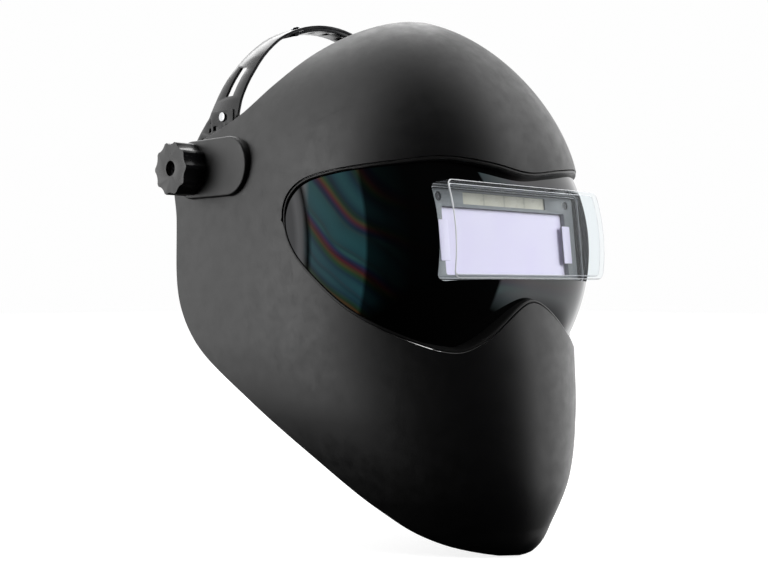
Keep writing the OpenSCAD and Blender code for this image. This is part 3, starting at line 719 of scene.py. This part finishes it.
# ---------------------------------------------------------------- visor
VISOR_WALL, VISOR_INSET, VISOR_LIP = 2.5, 2.2, 0.1
FILTER_TILT, FILTER_Y, FILTER_Z = math.radians(6), -161, -43
COVER_W, COVER_H, COVER_GAP = 136, 54, 0.3
SEAL_REACH = 6  # how deep the seal goes behind the visor's face
# The seal's outline, rows: distance into the opening, depth under the shell's face. The rows that are
# SEAL_BACK deep lie behind the visor.
SEAL_BACK = 3.0
BEAD = [(0.3, SEAL_BACK), (0.3, 0.9), (0.55, 0.6), (1.1, 0.5), (1.7, 0.65), (2.0, 1.2), (2.1, SEAL_BACK)]


def visor_skin():
    s = np.linspace(-TIP_S, TIP_S, 161)
    z_hi, u_hi = opening_on(visor_at, BROW, s, VISOR_INSET, -1)
    z_lo, u_lo = opening_on(visor_at, CHEEK, s, VISOR_INSET, 1)
    w = np.linspace(0, 1, 41)[:, None]
    return walled("visor_skin", visor_at, [(z_lo + (z_hi - z_lo) * w, u_lo + (u_hi - u_lo) * w)],
                  VISOR_WALL, VISOR_LIP)


def at_filter(p):
    """From the filter's own frame to the row's, in mm."""
    p = np.asarray(p, float)
    c, s = math.cos(FILTER_TILT), math.sin(FILTER_TILT)
    return np.stack([p[..., 0], p[..., 1] * c + p[..., 2] * s + FILTER_Y,
                     -p[..., 1] * s + p[..., 2] * c + FILTER_Z], -1)


def round_rect(w, h, r, n=8):
    """Outline in (x, z), counter-clockwise from the right."""
    a = np.linspace(0, math.pi / 2, n)
    pts = []
    for k, (sx, sz) in enumerate(((1, 1), (-1, 1), (-1, -1), (1, -1))):
        q = a + k * math.pi / 2
        pts.append(np.stack([sx * (w / 2 - r) + r * np.cos(q), sz * (h / 2 - r) + r * np.sin(q)], -1))
    return np.concatenate(pts)


def plate(name, w, h, y0, y1, r=2.0, z=0.0, soft=0.0, steps=3):
    """Plate in the filter's frame with round corners and, with soft, rounded edges."""
    def ring(y, i):
        o = round_rect(w - 2 * i, h - 2 * i, max(r - i, 0.15))
        return at_filter(np.stack([o[:, 0], np.full(len(o), y), o[:, 1] + z], -1))

    q = np.linspace(0, math.pi / 2, steps + 1)
    if soft:
        rings = [ring(y0 + soft * (1 - math.sin(a)), soft * (1 - math.cos(a))) for a in q[::-1]]
        rings += [ring(y1 - soft * (1 - math.sin(a)), soft * (1 - math.cos(a))) for a in q]
    else:
        rings = [ring(y0, 0), ring(y1, 0)]
    return loft(name, rings)


visor = visor_skin()
hole = plate("hole", COVER_W + 2 * COVER_GAP, COVER_H + 2 * COVER_GAP, -30, 30, 4)
boolean(visor, hole, "DIFFERENCE")
for p in visor.data.polygons:
    p.use_smooth = True
exact_normals(visor, visor_section)
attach(visor, "shell")
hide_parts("visor")
dress(visor, "visor")


def bezel_ring():
    """Rubber seal that follows the opening, with a rounded outer bead."""
    s = TIP_S * np.linspace(-1, 1, 241)
    hub = np.array([0, HUB_Y])
    rings = []
    for inset, depth in BEAD:
        pts = []
        for tab, way, order in ((BROW, -1, s), (CHEEK, 1, s[::-1])):
            z, u = opening_on(shell_at, tab, order, inset, way)
            out = shell_at(z, u) - depth * normal_of(shell_at, z, u)
            z, u = opening_on(visor_at, tab, order, inset, way)
            lens, n_lens = visor_at(z, u), normal_of(visor_at, z, u)
            proud = lens + (1 - depth) * n_lens
            further = (np.linalg.norm(out[:, :2] - hub, axis=-1)
                       > np.linalg.norm(proud[:, :2] - hub, axis=-1))[:, None]
            behind = lens - SEAL_REACH * n_lens
            pts.append(behind if depth == SEAL_BACK else np.where(further, out, proud))
        rings.append(np.concatenate(pts))
    rings = np.asarray(rings)
    n, r = rings.shape[1], len(rings)
    faces = [(i * n + j, (i + 1) % r * n + j, (i + 1) % r * n + (j + 1) % n, i * n + (j + 1) % n)
             for i in range(r) for j in range(n)]
    return clean(new_object("visor_seal", rings.reshape(-1, 3), faces), 2e-5)


bezel = finish_mesh(bezel_ring(), "shell", 50)
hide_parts("visor_bezel")
dress(bezel, "bezel")

# ---------------------------------------------------------------- edges of the hard parts
EDGE_WIDTHS = {
    "adf_inner_cover": 0.3, "knob_left": 0.5, "knob_right": 0.5, "ratchet_knob": 0.4,
    "crown_strap_left": 0.35, "crown_strap_right": 0.35, "side_plate_left": 0.4,
    "side_plate_right": 0.4, "brow_band": 0.4, "ratchet_base": 0.4, "ratchet_cover": 0.6,
    "adf_rear_case": 0.5, "adf_holder": 0.35, "adf_front_case": 0.25, "shade_dial": 0.25,
    "sensitivity_dial": 0.25, "delay_dial": 0.25, "test_button": 0.3, "tilt_limiter_left": 0.2,
    "tilt_limiter_right": 0.2, "pivot_bushing_left": 0.3, "pivot_bushing_right": 0.3,
    "headgear_studs": 0.3}
for node_name, width in EDGE_WIDTHS.items():
    carried(node_name, width)
# painted highlight: the clear cover's rounded rims get a nearly opaque pale white, standing in for light
# caught along its clear edges
cover_rim_painted_highlight = clear_plastic("cover_rim_painted_highlight", (0.92, 0.93, 0.96), edge_alpha=0.95, face_alpha=0.8, rough=0.15)
carried("adf_cover_lens", 0.8, segments=3, edge_material=cover_rim_painted_highlight)

# side tabs of the filter's glass, which lap over its grey frame
TAB_W, TAB_H, TAB_X, TAB_Z = 7.6, 23, 56.0, -4
for side in (1, -1):
    tab = plate("filter_tab", TAB_W, TAB_H, -4.5, -3.95, 0.8, TAB_Z, 0.2)
    tab.data.transform(Matrix.Translation((side * TAB_X * MM, 0, 0)))
    dress(finish_mesh(tab, "shell"), "filter_glass")

# ---------------------------------------------------------------- cloth-covered foam
# A pad starts smaller than the CAD's all round by SHRINK, swells by SWELL at most, and thins over its
# last PAD_END at both ends
SHRINK, SWELL, PAD_END = 0.5, 1.3, 8.0


def settle(ob, cap, pins, frames=20, pressure=4.0):
    """Blows the pad up against its stitching by cloth simulation; no point moves more than cap."""
    before = np.array([v.co for v in ob.data.vertices])
    group = ob.vertex_groups.new(name="sewn")
    group.add([int(i) for i in np.nonzero(pins)[0]], 1.0, "REPLACE")
    m = ob.modifiers.new("cloth", "CLOTH")
    c = m.settings
    c.quality, c.use_pressure, c.uniform_pressure_force = 6, True, pressure
    c.vertex_group_mass, c.effector_weights.gravity = "sewn", 0.0
    c.tension_stiffness = c.compression_stiffness = 12
    m.point_cache.frame_start, m.point_cache.frame_end = 1, frames
    for f in range(1, frames + 1):
        bpy.context.scene.frame_set(f)
    deps = bpy.context.evaluated_depsgraph_get()
    after = np.array([v.co for v in ob.evaluated_get(deps).data.vertices])
    ob.modifiers.clear()
    bpy.context.scene.frame_set(1)
    move = after - before
    size = np.linalg.norm(move, axis=1, keepdims=True)
    after = before + move * np.minimum(1, cap * MM / np.maximum(size, 1e-12))
    ob.data.vertices.foreach_set("co", after.ravel())
    ob.data.update()


def pad_rings(r0, r1, z0, z1, a0, a1):
    """Sections of a bent pad between two radii, heights and angles, thinner towards its ends."""
    middle_r, middle_z = (r0 + r1) / 2, (z0 + z1) / 2
    length = math.radians(a1 - a0) * middle_r
    tip = np.array([0.4, 1.5, 3.5])
    rings = []
    for d in np.concatenate([tip, np.linspace(6, length - 6, 60), length - tip[::-1]]):
        near = min(d, length - d)
        full = math.sqrt(max(0.05, 1 - max(0, 1 - near / PAD_END)**2))
        o = round_rect((r1 - r0 - 2 * SHRINK) * (0.55 + 0.45 * full), (z1 - z0 - 2 * SHRINK) * full, 1.2)
        a = math.radians(a0) + d / middle_r
        r = middle_r + o[:, 0]
        rings.append(np.stack([r * np.cos(a), r * np.sin(a), middle_z + o[:, 1]], -1))
    return rings


def foam_pad(name, node, centre, lean, radii, heights, angles, channels, voxel):
    """Pad bent round a vertical axis at (0, centre), leaning back by lean, with its sewn channels."""
    ob = loft(name, pad_rings(*radii, *heights, *angles))
    m = ob.modifiers.new("cells", "REMESH")
    m.mode, m.voxel_size = "VOXEL", voxel * MM
    apply_modifiers(ob)
    co = np.array([v.co for v in ob.data.vertices]) / MM
    along = np.degrees(np.arctan2(co[:, 1], co[:, 0])) % 360
    pins = np.hypot(co[:, 0], co[:, 1]) > radii[1] - SHRINK - 0.5
    for a in channels:
        pins |= np.abs(along - a) * math.pi / 180 * (sum(radii) / 2) < 0.55 * voxel
    settle(ob, SWELL, pins)
    m = ob.modifiers.new("smooth", "SUBSURF")
    m.levels = m.render_levels = 1
    apply_modifiers(ob)
    c, s = math.cos(math.radians(-lean)), math.sin(math.radians(-lean))
    co = np.array([v.co for v in ob.data.vertices]) / MM + [0, centre, 0]
    co = np.stack([co[:, 0], co[:, 1] * c - co[:, 2] * s, co[:, 1] * s + co[:, 2] * c], -1) * MM
    ob.data.vertices.foreach_set("co", co.ravel())
    ob.data.update()
    finish_mesh(ob, body_of[node], 180)
    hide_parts(node)
    dress(ob, "foam")


foam_pad("sweatband_pad", "sweatband", centre=-14, lean=0, radii=(77.5, 81.8), heights=(-15, 5),
         angles=(205, 335), channels=range(218, 335, 13), voxel=1.8)
foam_pad("nape_cushion", "nape_pad", centre=14, lean=18, radii=(74.5, 79.3), heights=(-21, 21),
         angles=(60, 120), channels=(75, 90, 105), voxel=2.2)

# ---------------------------------------------------------------- studio
CAMERA_TURN, CAMERA_PAN = math.radians(41.7), math.radians(3.05)
scene = bpy.context.scene


def studio_floor():
    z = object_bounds()[0][2] - 0.0002
    mesh = bpy.data.meshes.new("floor")
    mesh.from_pydata([(-6, -6, z), (6, -6, z), (6, 6, z), (-6, 6, z)], [], [(0, 1, 2, 3)])
    ob = bpy.data.objects.new("floor", mesh)
    scene.collection.objects.link(ob)
    m, t, b = material("floor_pale")
    paint(t, b, "Base Color", noise(t, 3, 3), [(0.3, 0.62), (0.7, 0.64)])
    for socket, value in (("Roughness", 0.9), ("Specular IOR Level", 0.0),
                          ("Emission Color", (1, 1, 1, 1)), ("Emission Strength", 0.66)):
        b.inputs[socket].default_value = value
    dark = t.nodes.new("ShaderNodeBsdfDiffuse")
    dark.inputs["Color"].default_value = (0.05, 0.05, 0.05, 1)
    path = t.nodes.new("ShaderNodeLightPath")
    mix_shaders(t, path, "Is Camera Ray", dark, b, t.nodes["Material Output"])
    mesh.materials.append(m)
    ob.visible_glossy = False


def soft_light(name, azimuth, elevation, distance, width, height, power):
    """Panel light aimed at the object. Azimuth runs from -Y towards +X."""
    a, e = math.radians(azimuth), math.radians(elevation)
    way = Vector((math.sin(a) * math.cos(e), -math.cos(a) * math.cos(e), math.sin(e)))
    data = bpy.data.lights.new(name, "AREA")
    data.shape, data.size, data.size_y, data.energy = "RECTANGLE", width, height, power
    ob = bpy.data.objects.new(name, data)
    scene.collection.objects.link(ob)
    target = Vector((0, -0.08, -0.06))
    ob.location = target + way * distance
    ob.rotation_euler = (-way).to_track_quat("-Z", "Y").to_euler()
    ob.visible_camera = False
    return ob


def place(azimuth):
    """Place on the world's round ramp, which starts 20 degrees to the right of the wearer's face."""
    return (azimuth + 20) % 360 / 360


def studio_world():
    """White to the camera. To all other rays it is dark in front and pale to the sides and behind,
    with nothing below and less light from above."""
    world = bpy.data.worlds.new("studio")
    scene.world = world
    world.use_nodes = True
    t = world.node_tree
    t.nodes.clear()
    way = t.nodes.new("ShaderNodeTexCoord")
    turned = t.nodes.new("ShaderNodeMapping")
    turned.inputs["Rotation"].default_value = (0, 0, math.radians(-70))
    link(t, way, "Generated", turned, "Vector")
    around = t.nodes.new("ShaderNodeTexGradient")
    around.gradient_type = "RADIAL"
    link(t, turned, "Vector", around, "Vector")
    cards = ramp(t, around, "Fac", [
        (0.0, 0.010), (place(46.5), 0.010), (place(47.5), 1.5), (place(105), 1.9), (place(112), 1.3),
        (place(-131.4), 1.2), (place(-130.9), 2.4), (place(-129.8), 2.4), (place(-129.5), 0.0),
        (place(-127.4), 0.0), (place(-127.0), 2.4), (place(-99.2), 2.2), (place(-98.4), 0.3),
        (place(-82), 0.12), (place(-55), 0.012)])
    xyz = t.nodes.new("ShaderNodeSeparateXYZ")
    link(t, way, "Generated", xyz, "Vector")
    up = t.nodes.new("ShaderNodeMapRange")
    up.inputs["From Min"].default_value = -1.0
    link(t, xyz, "Z", up, "Value")
    fade = ramp(t, up, "Result", [(0.0, 0.0), (0.29, 0.0), (0.33, 0.45), (0.36, 0.9), (0.42, 1.0),
                                  (0.70, 1.0), (0.88, 0.7), (1.0, 0.35)])
    both = mix_colour(t, "MULTIPLY")
    both.inputs["Factor"].default_value = 1.0
    t.links.new(cards.outputs["Color"], both.inputs["A"])
    t.links.new(fade.outputs["Color"], both.inputs["B"])
    light = t.nodes.new("ShaderNodeBackground")
    t.links.new(both.outputs["Result"], light.inputs["Color"])
    seen = t.nodes.new("ShaderNodeBackground")
    seen.inputs["Color"].default_value = (0.99, 0.99, 0.99, 1)
    path = t.nodes.new("ShaderNodeLightPath")
    mix_shaders(t, path, "Is Camera Ray", light, seen, t.nodes.new("ShaderNodeOutputWorld"))


def studio_camera():
    """Camera in front of the wearer's right side, panned a little so that the face is off centre."""
    data = bpy.data.cameras.new("camera")
    data.lens, data.sensor_width = 56.25, 36
    camera = bpy.data.objects.new("camera", data)
    scene.collection.objects.link(camera)
    camera.location = (-0.5455, -0.6122, -0.073)
    ahead = Vector((math.sin(CAMERA_TURN), math.cos(CAMERA_TURN), 0))
    right = Vector((math.cos(CAMERA_TURN), -math.sin(CAMERA_TURN), 0))
    aim = ahead * math.cos(CAMERA_PAN) + right * math.sin(CAMERA_PAN)
    camera.rotation_euler = aim.to_track_quat("-Z", "Y").to_euler()
    scene.camera = camera


studio_floor()
key = soft_light("key", azimuth=18, elevation=22, distance=1.7, width=0.9, height=0.9, power=27)
key.visible_glossy = False
soft_light("rim", azimuth=150, elevation=46, distance=1.7, width=1.2, height=0.9, power=9)
studio_world()
studio_camera()
scene.view_settings.view_transform = "Standard"
